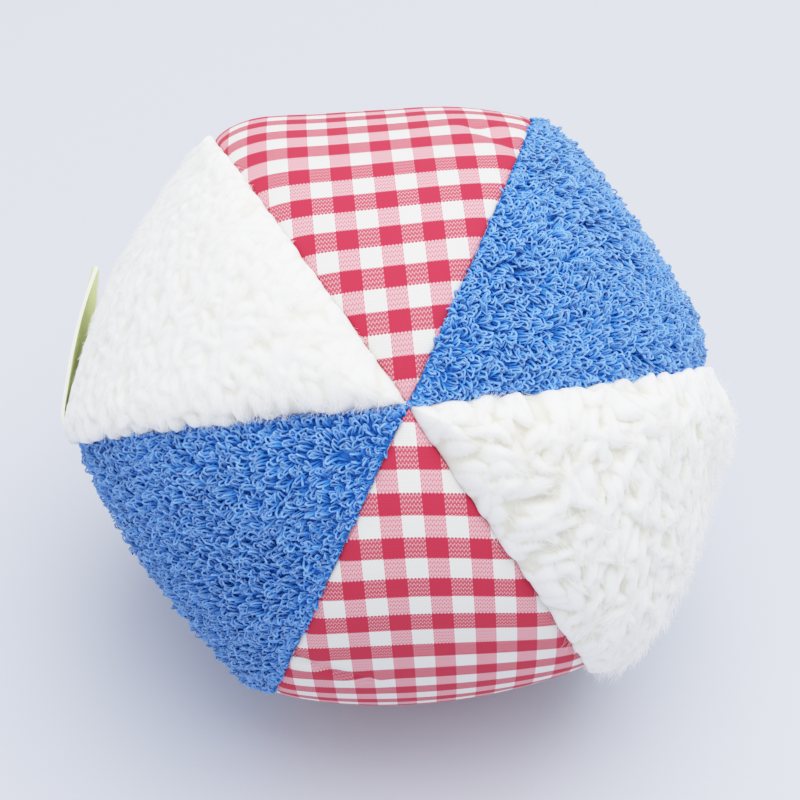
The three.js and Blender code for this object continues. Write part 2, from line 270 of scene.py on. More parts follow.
# A gore's surface: theta is the angle from the front pole and across runs -1 to 1 between the seams.
# The gore spans flat from seam to seam, bulges by its crown as a parabola, and lifts along the way out.
def gorePoint(gore, theta, across, inset, lift):
    rho = axisReach(theta)
    half = rho * math.sin(halfGore)
    y = across * np.maximum(half - inset / math.cos(halfGore), 0)
    bulge = gore["crown"] * np.sin(theta) * (1 - (y / half) ** 2)
    out = (bulge + lift) * np.sin(theta)
    local = np.stack([
        rho * math.cos(halfGore) + out * np.cos(across * halfGore),
        y + out * np.sin(across * halfGore),
        (ball["poleRadius"] + bulge + lift) * np.cos(theta),
    ], -1)
    return settle(local @ gore["turn"].T + centre)


# The way out at a place on a gore: the direction from the centre, as on a globe about the polar axis
def goreOut(gore, theta, across):
    local = np.stack([
        np.sin(theta) * np.cos(across * halfGore),
        np.sin(theta) * np.sin(across * halfGore),
        np.cos(theta) + 0 * across,
    ], -1)
    return local @ gore["turn"].T


# Distance to the nearer seam, straight across the gore
def fromSeam(theta, across):
    return axisReach(theta) * math.sin(halfGore) * (1 - np.abs(across))


# Materials

gingham = dict(  # millimetres; a check is longer than wide, as the cloth is stretched along the gore
    warpCheck=3.6, weftCheck=3.93, warpsInCheck=12, weftsInCheck=9, weftStep=0.3, dotEdge=(-0.1, 0.55),
    haze=0.3, weftShown=0.72,  # fibres blur the yarn dots to their mean, in which weft shows more than warp
    # each yarn is painted darker towards its edges: painted shade where it dips beside the crossing yarns
    hollow=(0.3, 0.8),  # towards its edge a yarn darkens over this share of its width, down to this level
    bump=dict(Strength=0.4, Distance=0.12 * mm),
    red="#b6263d", white="#e6e5e2", crossed="#e6a8b1",  # crossed is white yarn with red yarn under it
)


# Yarn-dyed cotton gingham, plain weave: matt, with a solid square where red crosses red and a half tone
# of yarn dots where red crosses white. The yarns are drawn about twice their width so that they show.
# Each yarn is also painted darker towards its edges, as shade between the yarns.
def ginghamCotton():
    g = gingham
    material, tree, shader = newMaterial("yarn_dyed_cotton_gingham", {
        "Roughness": 0.85, "Sheen Weight": 0.02, "Specular IOR Level": 0.15,
    })
    place = addNode(tree, "SeparateXYZ", [addNode(tree, "UVMap", uv_map="cloth")])
    warpsPerMm, weftsPerMm = g["warpsInCheck"] / g["warpCheck"], g["weftsInCheck"] / g["weftCheck"]
    warp = addNode(tree, "Math", [place.outputs[0], warpsPerMm], operation="MULTIPLY")
    warpCount = addNode(tree, "Math", [warp], operation="FLOOR")
    odd = addNode(tree, "Math", [warpCount, 2], operation="FLOORED_MODULO")
    weft = addNode(tree, "Math", [place.outputs[1], weftsPerMm], operation="MULTIPLY")
    weft = addNode(tree, "Math", [odd, -g["weftStep"], weft], operation="MULTIPLY_ADD")
    weftCount = addNode(tree, "Math", [weft], operation="FLOOR")
    both = addNode(tree, "Math", [warpCount, weftCount], operation="ADD")
    turnOver = addNode(tree, "Math", [both, 2], operation="FLOORED_MODULO")
    yarns = ((weftCount, weft, g["weftsInCheck"]), (warpCount, warp, g["warpsInCheck"]))
    reds, arches = [], []
    for count, yarn, perCheck in yarns:
        inRepeat = addNode(tree, "Math", [count, 2 * perCheck], operation="FLOORED_MODULO")
        reds.append(addNode(tree, "Math", [inRepeat, perCheck - 0.5], operation="LESS_THAN"))
        arches.append(addNode(tree, "Math", [yarn, 0.5], operation="PINGPONG"))
    ridge = addNode(tree, "MapRange", [arches[1], *g["dotEdge"]], interpolation_type="SMOOTHSTEP")
    warpOver = addNode(tree, "Math", [turnOver, ridge], operation="MULTIPLY")
    isRed = addNode(tree, "Mix", {0: warpOver, 2: reds[0], 3: reds[1]})
    arch = addNode(tree, "Mix", {0: warpOver, 2: arches[0], 3: arches[1]})
    isPlain = addNode(tree, "Math", [reds[0], reds[1], 0.5], operation="COMPARE")
    haze = addNode(tree, "MapRange", [isPlain, 0, 1, g["haze"], 0])
    share = addNode(tree, "MapRange", [reds[0], 0, 1, 1 - g["weftShown"], g["weftShown"]])
    isRed = addNode(tree, "Mix", {0: haze, 2: isRed, 3: share})
    shades = {0: isPlain, 6: linear(g["crossed"]), 7: linear(g["white"])}
    pale = addNode(tree, "Mix", shades, data_type="RGBA")
    dyed = addNode(tree, "Mix", {0: isRed, 6: pale, 7: linear(g["red"])}, data_type="RGBA")
    width, level = g["hollow"]
    # Painted shade between yarns: the colour darkens towards each yarn's edge
    hollow = addNode(tree, "MapRange", [arch, 0, width, level, 1])
    shaded = addNode(tree, "Mix", {0: 1, 6: dyed, 7: hollow}, data_type="RGBA", blend_type="MULTIPLY")
    bump = addNode(tree, "Bump", {**g["bump"], "Height": arch})
    plug(tree, shader, {"Base Color": shaded, "Normal": bump})
    return material


terry = dict(
    # loop colours: the deep root is painted shade down between loops, the pale tip is painted light on loops
    # that stand up
    root="#1562d6", body="#367de6", tip="#73a2f3", tones=(0.82, 1.12), ownNormal=0.8,
    # the ground's blues, deeper than the loops, are painted shade down under the loops
    groundShades=("#1352b2", "#1a64cc"), stitch=0.8 * mm, bump=dict(Strength=0.6, Distance=0.2 * mm),
)


# The normal of a loop's soft yarn: its own, leant to the direction in its outward attribute
def softNormal(tree, ownShare):
    skin = addNode(tree, "NewGeometry")
    outward = addNode(tree, "Attribute", attribute_name="outward")
    own = addNode(tree, "VectorMath", {0: skin.outputs["Normal"], 3: ownShare}, operation="SCALE")
    lean = addNode(tree, "VectorMath", [own, outward.outputs["Vector"]], operation="ADD")
    return addNode(tree, "VectorMath", [lean], operation="NORMALIZE")


# Cotton terry: matt looped yarn, painted pale at the tips as light and deep blue at the roots as shade
# between loops
def cottonTerry():
    material, tree, shader = newMaterial("cotton_terry_loops", {
        "Roughness": 0.9, "Specular IOR Level": 0.1, "Sheen Weight": 0.25, "Sheen Tint": linear("#c8e0ff"),
    })
    rise = addNode(tree, "Attribute", attribute_name="rise")
    tone = addNode(tree, "Attribute", attribute_name="tone")
    # The ramp paints shade at a loop's root and light at its tip
    ramp = addNode(tree, "ValToRGB", [rise.outputs["Fac"]])
    stops = ramp.color_ramp.elements
    stops[0].color, stops[1].color = linear(terry["root"]), linear(terry["tip"])
    stops.new(0.5).color = linear(terry["body"])
    level = addNode(tree, "MapRange", [tone.outputs["Fac"], 0, 1, *terry["tones"]])
    toned = addNode(tree, "Mix", {0: 1, 6: ramp, 7: level}, data_type="RGBA", blend_type="MULTIPLY")
    plug(tree, shader, {"Base Color": toned, "Normal": softNormal(tree, terry["ownNormal"])})
    return material


plush = dict(
    # crease is the colour of painted shade in the pile's hollows and partings; bed is the open white
    crease="#e5e2d5", bed="#fdfcfa", through=0.85, scatter=4.0 * mm, radius=(1.0, 0.95, 0.9),
    fibre=(0.45, 4.0),  # size of the grain of fibres across a clump and along it, in millimetres
    grain=0.35, openRange=(0.25, 0.7),  # how far fibres show, and over which openness a crease turns white
    bump=dict(Strength=0.5, Distance=0.3 * mm),
    # root and tip: the hairs are painted a little warmer at the root, as shade down in the pile
    root="#f6f4ec", tip="#fffefc", hairThrough=0.7, hairScatter=0.5 * mm,
)


# Polyester boa plush, its pile's mass: matt white, light passing through it, shade painted warm in hollows
# and partings
def polyesterPlush():
    material, tree, shader = newMaterial("polyester_boa_plush", {
        "Roughness": 0.95, "Specular IOR Level": 0.15, "Subsurface Weight": plush["through"],
        "Subsurface Radius": plush["radius"], "Subsurface Scale": plush["scatter"],
    })
    cloth = addNode(tree, "UVMap", uv_map="cloth")
    scale = (1 / plush["fibre"][0], 1 / plush["fibre"][1], 1.0)
    place = addNode(tree, "Mapping", {"Vector": cloth, "Scale": scale})
    fibres = addNode(tree, "TexNoise", {"Vector": place, "Scale": 1.0, "Detail": 3.0})
    openness = addNode(tree, "Attribute", attribute_name="open").outputs["Fac"]
    level = addNode(tree, "Math", [fibres, plush["grain"], openness], operation="MULTIPLY_ADD")
    shown = addNode(tree, "MapRange", [level, *plush["openRange"]])
    # Painted shade: the crease colour where the pile is low or parted, the bed white where it is open
    shades = {0: shown, 6: linear(plush["crease"]), 7: linear(plush["bed"])}
    white = addNode(tree, "Mix", shades, data_type="RGBA")
    bump = addNode(tree, "Bump", {**plush["bump"], "Height": fibres})
    plug(tree, shader, {"Base Color": white, "Normal": bump})
    return material


# The hairs over its clumps: the same white polyester, painted a little warmer at their roots as shade down in
# the pile
def plushHair():
    material, tree, shader = newMaterial("polyester_hair", {
        "Roughness": 0.8, "Subsurface Weight": plush["hairThrough"],
        "Subsurface Radius": plush["radius"], "Subsurface Scale": plush["hairScatter"],
    })
    rise = addNode(tree, "Attribute", attribute_name="rise").outputs["Fac"]
    shades = {0: rise, 6: linear(plush["root"]), 7: linear(plush["tip"])}
    plug(tree, shader, {"Base Color": addNode(tree, "Mix", shades, data_type="RGBA")})
    return material


ginghamMaterial = ginghamCotton()
terryMaterial = cottonTerry()
# The knitted ground under the loops: painted a deeper blue than the loops as shade, with a fine stitch bump
terryGroundMaterial = grained("cotton_terry_ground", {"Roughness": 0.95}, terry["groundShades"],
                              terry["stitch"], terry["bump"])
plushMaterial = polyesterPlush()
hairMaterial = plushHair()
print("materials made")


# Pile

pileShape = dict(
    spread=(0.7548776662, 0.5698402910),  # steps of an additive sequence that fills a square evenly
    seamStrip=1.2 * mm, swirlSize=22 * mm, pressDepth=1.2 * mm, leastReach=0.1,
)


# Even but unordered places over half a gore: a two-way additive sequence, spread so that equal areas get
# equal numbers. The last share of them is kept for the strips along the two seams.
def pilePlaces(count, rear, rng, seamShare=0.0):
    seamStrip = pileShape["seamStrip"]
    n = np.arange(count)
    u, w = ((rng.uniform() + n * step) % 1 for step in pileShape["spread"])
    isSeam = n >= count * (1 - seamShare)
    theta = np.where(isSeam, u * math.pi / 2, np.arccos(1 - u))
    half = axisReach(theta) * math.sin(halfGore)
    side = 2 * w - 1
    strip = np.sign(side) * np.maximum(1 - seamStrip / np.maximum(half, seamStrip) * np.abs(side), 0)
    return (math.pi - theta if rear else theta), np.where(isSeam, strip, side)


# Directions at each place: out of the cloth, and along it the way the pile is combed
def pileFrame(gore, theta, across, comb, stray, swirl, rng):
    out = goreOut(gore, theta, across)
    root = gorePoint(gore, theta, across, 0, 0 * theta)
    aim = math.cos(math.radians(comb)) * np.array([1, 0, 0]) + math.sin(math.radians(comb)) * imageUp
    lay = unit(aim - (out @ aim)[:, None] * out)
    turn = swirl * waves(root, pileShape["swirlSize"], rng) + rng.normal(0, stray, len(theta))
    beside = np.cross(out, lay)
    lay = np.cos(turn)[:, None] * lay + np.sin(turn)[:, None] * beside
    return out, lay, np.cross(out, lay)


# How far inside its gore a point lies from each of the two seam planes: positive inside
def insideGore(gore, points):
    local = (points - centre) @ gore["turn"]
    level = local[..., 0] * math.sin(halfGore)
    return level - local[..., 1] * math.cos(halfGore), level + local[..., 1] * math.cos(halfGore)


# The share of a strand's reach that keeps its tip from hanging over either seam by more than is allowed
def heldBack(gore, root, reach, overhang):
    share = np.ones(len(root))
    for start, stop, allowed in zip(insideGore(gore, root), insideGore(gore, root + reach), overhang):
        past = stop < -allowed
        share = np.where(past, np.minimum(share, (start + allowed) / np.maximum(start - stop, 1e-9)), share)
    return np.clip(share, pileShape["leastReach"], 1)


# Strands of half a gore as one piece, pressed flat where they meet the floor
def layPile(name, kind, rear, strands, material, values, smooth=True):
    pieceName = name.replace("panel", kind) + ("_rear" if rear else "_front")
    points = pressed(strands, pileShape["pressDepth"])
    fit(makePiece(pieceName, points, tubeFaces(*strands.shape[:3]), material, None, values, smooth))


plushPile = dict(
    standing=(3.2 * mm, 1.8 * mm),  # pile stands up over this far from the gingham seam and the terry seam
    stray=0.5, swirl=0.8,  # how far clumps turn from the combed way, each alone and many together
    lengths=(0.6, 1.4), widths=(0.6, 1.3), proud=(0.6, 1), curls=(0.3, 1), bends=(3, 6),  # clump to clump
    blend=5, skew=1.3, narrowing=0.6, band=2 * mm, nearby=1.4,  # clumps this many lengths off a band count
    apart=9,  # millimetres between clumps in the grain of fibres, so that each has its own
    parting=0.1, partingDepth=0.4,  # where two clumps are this near in height a parting is painted as shade, with the pile this much less open
    poleSpill=0.3, lowSpill=0.6,  # share of the spill left at a pole over terry, and low down over gingham
    fuzz=(12000, 9000),  # hairs on the front half and on the rear half of a gore
    rings=3, sides=3, hair=0.035 * mm, hairSink=0.15 * mm, hairLift=0.55 * mm, hairStray=0.3, hairSway=0.25,
    hairLengths=(0.5, 1.4), hairLifts=(0.2, 1), hairWidths=(0.7, 1.3), hairTaper=0.5,
    tipPull=2 * mm, tuftShare=0.35,
    poleShort=5 * mm, poleHair=0.3,  # within this far of the polar axis hairs shorten, to this share
    seamShare=0.12, overhang=(0.5 * mm, 0.4 * mm),  # of hairs over the terry seam and over the gingham seam
    # crease: how strongly each gore's hollows and partings take the painted shade
    plush_panel_right=dict(
        comb=-62, under=0.5, clumps=800, width=2.4 * mm, length=10.5 * mm, curl=0.9, sharp=1.3,
        height=2.0 * mm, crease=1.0, hair=3.4 * mm, tuft=1.9 * mm,
        spill=(1.7 * mm, 3.5 * mm),  # over the gingham seam and over the terry seam
    ),
    plush_panel_left=dict(
        comb=-88, under=0.62, clumps=1100, width=1.8 * mm, length=6.5 * mm, curl=0.8, sharp=1.5,
        height=0.75 * mm, crease=0.6, hair=2.2 * mm, tuft=0.4 * mm, spill=(1.0 * mm, 2.6 * mm),
    ),
)


# Height of the pile's mass, and the share of full height that pile has: 1 - exp(-distance) from a seam
def pileBed(gore, away, across):
    atGingham, atTerry = plushPile["standing"]
    toTerry = 0.5 + 0.5 * np.sin(math.pi / 2 * np.clip(across, -1, 1))
    share = 1 - np.exp(-away / (atGingham + (atTerry - atGingham) * toTerry))
    return plushPile[gore["name"]]["under"] * gore["pile"] * share, share


# Every clump of a gore's plush: where it grows, its directions and its sizes
def growClumps(gore):
    p, own = plushPile, plushPile[gore["name"]]
    rng = np.random.default_rng(70 + gores.index(gore))
    halves = [pilePlaces(own["clumps"] // 2, rear, rng) for rear in (False, True)]
    theta, across = (np.concatenate(pair) for pair in zip(*halves))
    out, lay, beside = pileFrame(gore, theta, across, own["comb"], p["stray"], p["swirl"], rng)
    count = len(theta)
    length = own["length"] * rng.uniform(*p["lengths"], count)
    return dict(
        theta=theta, lay=lay, beside=beside, length=length,
        root=gorePoint(gore, theta, across, 0, 0 * theta) - 0.5 * length[:, None] * lay,
        width=own["width"] * rng.uniform(*p["widths"], count), proud=rng.uniform(*p["proud"], count),
        curl=own["curl"] * rng.uniform(*p["curls"], count), bends=rng.uniform(*p["bends"], count),
        phase=rng.uniform(0, 2 * math.pi, count),
    )


# Plush as it shows: soft clumps about wavy middle lines. Along a clump the height is a sine skewed to the
# tip, and across it a powered parabola that narrows to the tip. The higher clump shows, joined softly by a
# power sum. Gives the height from 0 to 1, how open the pile is from 0 in a parting to 1, the way the clump
# lies, its tip, and places across and along the clump in millimetres.
# The openness only sets where the painted crease shade shows; the height alone shapes the pile.
def clumpField(gore, clumps, theta, across):
    p, own = plushPile, plushPile[gore["name"]]
    place = gorePoint(gore, theta, across, 0, 0 * theta)
    rise, openness = np.zeros(theta.shape), np.zeros(theta.shape)
    lay, tip = np.zeros(place.shape), np.zeros(place.shape)
    inClump = np.zeros(theta.shape + (2,))
    band = p["band"] / ball["seamRadius"]
    nearby = p["nearby"] * own["length"] / ball["seamRadius"] + band
    for start in np.arange(0, math.pi, band):
        here = np.nonzero((theta >= start) & (theta < start + band))[0]
        near = np.nonzero(np.abs(clumps["theta"] - start) < nearby)[0]
        clump = {key: values[near] for key, values in clumps.items()}
        toPoint = place[here][:, None] - clump["root"]
        along = np.clip((toPoint * clump["lay"]).sum(-1) / clump["length"], 0, 1)
        turn = clump["bends"] * along + clump["phase"]
        swing = clump["curl"] * clump["width"]
        narrow = clump["width"] * (1 - p["narrowing"] * along ** 2)
        aside = ((toPoint * clump["beside"]).sum(-1) - swing * np.sin(turn)) / narrow
        ridge = np.maximum(1 - aside ** 2, 0) * np.sin(math.pi * along ** p["skew"])
        height = clump["proud"] * ridge ** own["sharp"]
        rise[here] = np.minimum((height ** p["blend"]).sum(-1) ** (1 / p["blend"]), 1)
        top = height.argmax(-1)
        row = np.arange(len(here))
        # Painted shade along partings: where the two highest clumps are near in height, the pile counts as
        # less open
        second = np.partition(height, -2, axis=-1)[:, -2]
        parted = np.exp(-(((height[row, top] - second) / p["parting"]) ** 2))
        openness[here] = rise[here] - p["partingDepth"] * parted
        slope = (swing * clump["bends"] / clump["length"])[top] * np.cos(turn[row, top])
        lay[here] = unit(clump["lay"][top] + slope[:, None] * clump["beside"][top])
        end = swing * np.sin(clump["bends"] + clump["phase"])
        inClump[here, 0] = (aside * narrow)[row, top] / mm + p["apart"] * near[top]
        inClump[here, 1] = along[row, top] * clump["length"][top] / mm
        middle = clump["root"] + clump["length"][:, None] * clump["lay"]
        tip[here] = (middle + end[:, None] * clump["beside"])[top]
    return rise, openness, lay, tip, inClump


# Panels

panelGrid = dict(
    turnedIn=7, seamGap=0.05 * mm, tipGap=0.3 * mm, pressDepth=0.6 * mm,
    threadRoom=0.28 * mm, threadDepth=0.35 * mm, threadWidth=0.4 * mm, roomFrom=4 * mm,
    tipShare=0.3, thinShare=0.2,  # of the distance to the polar axis: the allowance and the cloth near a tip
    bare=(161, 89), looped=(121, 49), plush=(301, 121),  # rows and columns of each cloth
)
ginghamPlaces = dict(  # millimetres from the front pole and the gore's middle to the corner of a red square
    gingham_panel_upper=dict(warpStart=-1.85, weftStart=4.3, slope=-0.02, bow=0.0055),
    gingham_panel_lower=dict(warpStart=0.8, weftStart=6.75, slope=0.1, bow=0.0095),
)


# Rows of angles from the front pole to the rear one, and columns across, closer together beside the seams
def panelPlaces(grid):
    rows, columns = panelGrid[grid]
    end = panelGrid["tipGap"] / ball["seamRadius"]
    theta = np.linspace(end, math.pi - end, rows)[:, None]
    even = np.linspace(-1, 1, columns)
    return theta, (0.5 * even + 0.5 * np.sin(even * math.pi / 2))[None, :]


# One gore as a closed strip: out along the allowance, over the face of the cloth, back down the other
# allowance, and round its back. Also gives the columns that are the face.
def panelShell(gore, theta, face, lift=0, spill=0):
    g = panelGrid
    rho = axisReach(theta)
    fold = np.linspace(1, 0, g["turnedIn"])[None, :-1]
    further = np.maximum(rho - ball["tipRadius"], 0)
    trimmed = g["tipShare"] * np.minimum(rho, ball["tipRadius"]) + further / 2
    depth = np.minimum(ball["allowance"], trimmed) * fold
    ground = np.minimum(gore["ground"], g["thinShare"] * rho)

    # One side of the strip, this far behind the face: allowance, face and allowance, with room for the thread
    def loopSide(behind, lift, spill):
        gap = g["seamGap"] + behind
        beside = np.exp(-(((depth - g["threadDepth"]) / g["threadWidth"]) ** 2))
        room = g["threadRoom"] * beside * np.minimum(rho / g["roomFrom"], 1)
        edge, drawn = np.ones_like(depth), -seamDraw(0 * depth) - depth
        left = gorePoint(gore, theta, -edge, gap + room, drawn)
        right = gorePoint(gore, theta, edge, gap + room, drawn)
        middle = gorePoint(gore, theta, face + 0 * theta, gap - spill, lift)
        return np.concatenate([left, middle, right[:, ::-1]], 1)

    away = fromSeam(theta, face)
    outer = loopSide(0, lift - seamDraw(away), spill)
    inner = loopSide(ground, -ground - seamDraw(away), 0)
    points = pressed(np.concatenate([outer, inner[:, ::-1]], 1), g["pressDepth"])
    rows, columns = points.shape[:2]
    half = columns // 2
    walls = gridFaces(rows, columns, looped=True)[:, ::-1]
    k = np.arange(half - 1)
    cap = np.stack([k, k + 1, columns - 2 - k, columns - 1 - k], -1)
    end = cap[:, ::-1] + (rows - 1) * columns
    isFace = slice(g["turnedIn"] - 1, g["turnedIn"] - 1 + face.size)
    return points, [walls, cap, end], isFace


# Cloth coordinates in millimetres: across from the gore's middle, and along by the angle about its width
def clothPlace(gore, points, warpStart, weftStart, slope, bow):
    local = (points - centre) @ gore["turn"]
    meanRadius = (ball["seamRadius"] + ball["poleRadius"]) / 2
    along = np.arctan2(local[..., 0], local[..., 2]) * meanRadius / mm
    across = local[..., 1] / mm
    return np.stack([across - warpStart, along - weftStart - slope * across - bow * across ** 2], -1)


ginghamFolds = dict(  # creases: ends across and along the gore in millimetres, depth and half width
    gingham_panel_upper=((-24, 55), (-18, 61), 0.9 * mm, 2.6),
    gingham_panel_lower=((-24, 52), (-11, 58), 0.8 * mm, 1.3),
)
creaseShape = dict(lipWidth=2.2, lipHeight=0.6, sink=1.3)  # shares of a crease's own width and depth
pucker = dict(depth=0.12 * mm, pitch=6.5, reach=3 * mm, shift=2)  # the cloth gathers a little along its seams


# Creases sink as a bell curve of the distance from a line, inside a wider raised lip. Puckers are waves
# along a seam that die away from it.
def ginghamLift(gore, theta, face):
    place = clothPlace(gore, gorePoint(gore, theta, face + 0 * theta, 0, 0), 0, 0, 0, 0)
    start, end, depth, width = ginghamFolds[gore["name"]]
    line = np.subtract(end, start)
    share = np.clip((place - start) @ line / (line @ line), 0, 1)
    gap = np.linalg.norm(place - start - share[..., None] * line, axis=-1)
    lip = np.exp(-((gap / (creaseShape["lipWidth"] * width)) ** 2))
    sunk = np.exp(-((gap / width) ** 2))
    crease = depth * (creaseShape["lipHeight"] * lip - creaseShape["sink"] * sunk)
    gather = np.sin(2 * math.pi * place[..., 1] / pucker["pitch"] + pucker["shift"] * np.sign(face))
    return crease + pucker["depth"] * gather * np.exp(-fromSeam(theta, face) / pucker["reach"])


# A gore takes the place of its solid
def sewGore(name, points, faces, material, uv=None, values=None):
    piece = makePiece(name.replace("panel", "gore"), points, faces, material, uv, values)
    fit(piece, name)


for name in ("gingham_panel_upper", "gingham_panel_lower"):
    gore = goreNamed[name]
    theta, face = panelPlaces("bare")
    points, faces, _ = panelShell(gore, theta, face, ginghamLift(gore, theta, face))
    uv = clothPlace(gore, points, **ginghamPlaces[name])
    sewGore(name, points, faces, ginghamMaterial, uv)
for name in ("terry_panel_right", "terry_panel_left"):
    points, faces, _ = panelShell(goreNamed[name], *panelPlaces("looped"))
    sewGore(name, points, faces, terryGroundMaterial)


# A plush gore has its clumps in its own mesh. Pile spills over a seam most at a millimetre from it, as
# x exp(1 - x) of the distance x, and less over the terry seam towards the poles.
def plushGore(name):
    gore, p, own = goreNamed[name], plushPile, plushPile[name]
    theta, face = panelPlaces("plush")
    away = fromSeam(theta, face)
    clumps = growClumps(gore)
    field = clumpField(gore, clumps, *map(np.ravel, np.broadcast_arrays(theta, face)))
    rise, openness, inClump = (field[k].reshape(away.shape + field[k].shape[1:]) for k in (0, 1, 4))
    bed, share = pileBed(gore, away, face)
    overGingham, overTerry = own["spill"]
    overTerry = overTerry * rise * (p["poleSpill"] + (1 - p["poleSpill"]) * np.sin(theta))
    overGingham = overGingham * (p["lowSpill"] + (1 - p["lowSpill"]) * rise)
    spill = np.where(face > 0, overTerry, overGingham) * away / mm * np.exp(1 - away / mm)
    points, faces, isFace = panelShell(gore, theta, face, bed + own["height"] * rise * share, spill)
    # Painted shade: the crease colour in hollows and partings, the white bed where the pile is open
    shown = np.full(points.shape[:2], 0.5)
    shown[:, isFace] = 1 - own["crease"] * (1 - openness)
    uv = clothPlace(gore, points, 0, 0, 0, 0)
    uv[:, isFace] = inClump
    sewGore(name, points, faces, plushMaterial, uv, dict(open=shown))
    return clumps


clumpsOf = {name: plushGore(name) for name in ("plush_panel_left", "plush_panel_right")}
print("six gores sewn")


terryPile = dict(
    loops=5200, sides=3, strand=0.195 * mm, length=2.8 * mm, width=1.1 * mm,
    lean=62, leanSpread=14, leanRange=(35, 85),  # degrees from upright
    curl=0.8, twist=0.8, bow=1.3, swirl=0.6,
    lengths=(0.75, 1.2), widths=(0.6, 1.2), strands=(0.85, 1.2),  # from loop to loop
    leg=((0, 0.25), (0.6, 0.46), (0.92, 0.38), (1, 0)),  # shares of length up, and of width from the middle
    shortest=0.35, standing=2.5 * mm,  # at a seam loops have this share of their length, and grow over this
    seamShare=0.12, overhang=(0.2 * mm, 0.2 * mm),
    combs=dict(terry_panel_right=10, terry_panel_left=150),
    strays=dict(terry_panel_right=0.6, terry_panel_left=0.7),
)


# A loop of towelling: a hairpin with a blunt end that rises from the ground, leans over and comes back down
# beside itself. Over the cloth its middle line is an arc: for a curl of k, sin(k s) / k ahead and
# (1 - cos(k s)) / k aside.
def terryLoops(name, rear, seed):
    p = terryPile
    gore = goreNamed[name]
    rng = np.random.default_rng(seed)
    theta, across = pilePlaces(p["loops"], rear, rng, p["seamShare"])
    out, lay, beside = pileFrame(gore, theta, across, p["combs"][name], p["strays"][name], p["swirl"], rng)
    away = fromSeam(theta, across)
    root = gorePoint(gore, theta, across, 0, -seamDraw(away))
    full = p["shortest"] + (1 - p["shortest"]) * (1 - np.exp(-away / p["standing"]))
    length = p["length"] * full * rng.uniform(*p["lengths"], p["loops"])
    lean = np.radians(np.clip(p["lean"] + rng.normal(0, p["leanSpread"], p["loops"]), *p["leanRange"]))
    length = length * heldBack(gore, root, (length * np.sin(lean))[:, None] * lay, p["overhang"])
    width = p["width"] * rng.uniform(*p["widths"], p["loops"])
    twist = rng.normal(0, p["twist"], p["loops"])
    curl = rng.normal(0, p["curl"], p["loops"])[:, None]
    leg = np.array(p["leg"])
    high = np.concatenate([leg[:, 0], leg[-2::-1, 0]])
    wide = np.concatenate([-leg[:, 1], leg[-2::-1, 1]])[None, :, None]
    turned = curl * high ** p["bow"]
    level = (length * np.sin(lean))[:, None] * high ** p["bow"]
    over = (level * np.sinc(turned / math.pi))[..., None] * lay[:, None]
    aside = (level * np.sin(turned / 2) * np.sinc(turned / 2 / math.pi))[..., None] * beside[:, None]
    up = ((length * np.cos(lean))[:, None] * high)[..., None] * out[:, None]
    flat = np.cos(twist)[:, None] * beside
    steep = np.sin(twist)[:, None] * (np.cos(lean)[:, None] * lay - np.sin(lean)[:, None] * out)
    paths = root[:, None] + up + over + aside + wide * width[:, None, None] * (flat + steep)[:, None]
    pin = lay * np.sin(lean)[:, None] + out * np.cos(lean)[:, None]
    square = unit(np.cross(flat + steep, pin))
    thick = np.full(paths.shape[:2], p["strand"]) * rng.uniform(*p["strands"], (p["loops"], 1))
    tubes = tubeRings(paths, thick, thick, p["sides"], square[:, None])
    rise = np.broadcast_to(high[:, None], tubes.shape[:3])
    tone = np.broadcast_to(rng.uniform(0, 1, p["loops"])[:, None, None], tubes.shape[:3])
    outward = np.broadcast_to(out[:, None, None], tubes.shape)
    values = dict(rise=rise, tone=tone, outward=outward)
    layPile(name, "loops", rear, tubes, terryMaterial, values)


for seed, name in enumerate(("terry_panel_right", "terry_panel_left")):
    terryLoops(name, False, 10 + seed)
    terryLoops(name, True, 20 + seed)
print("terry loops drawn")


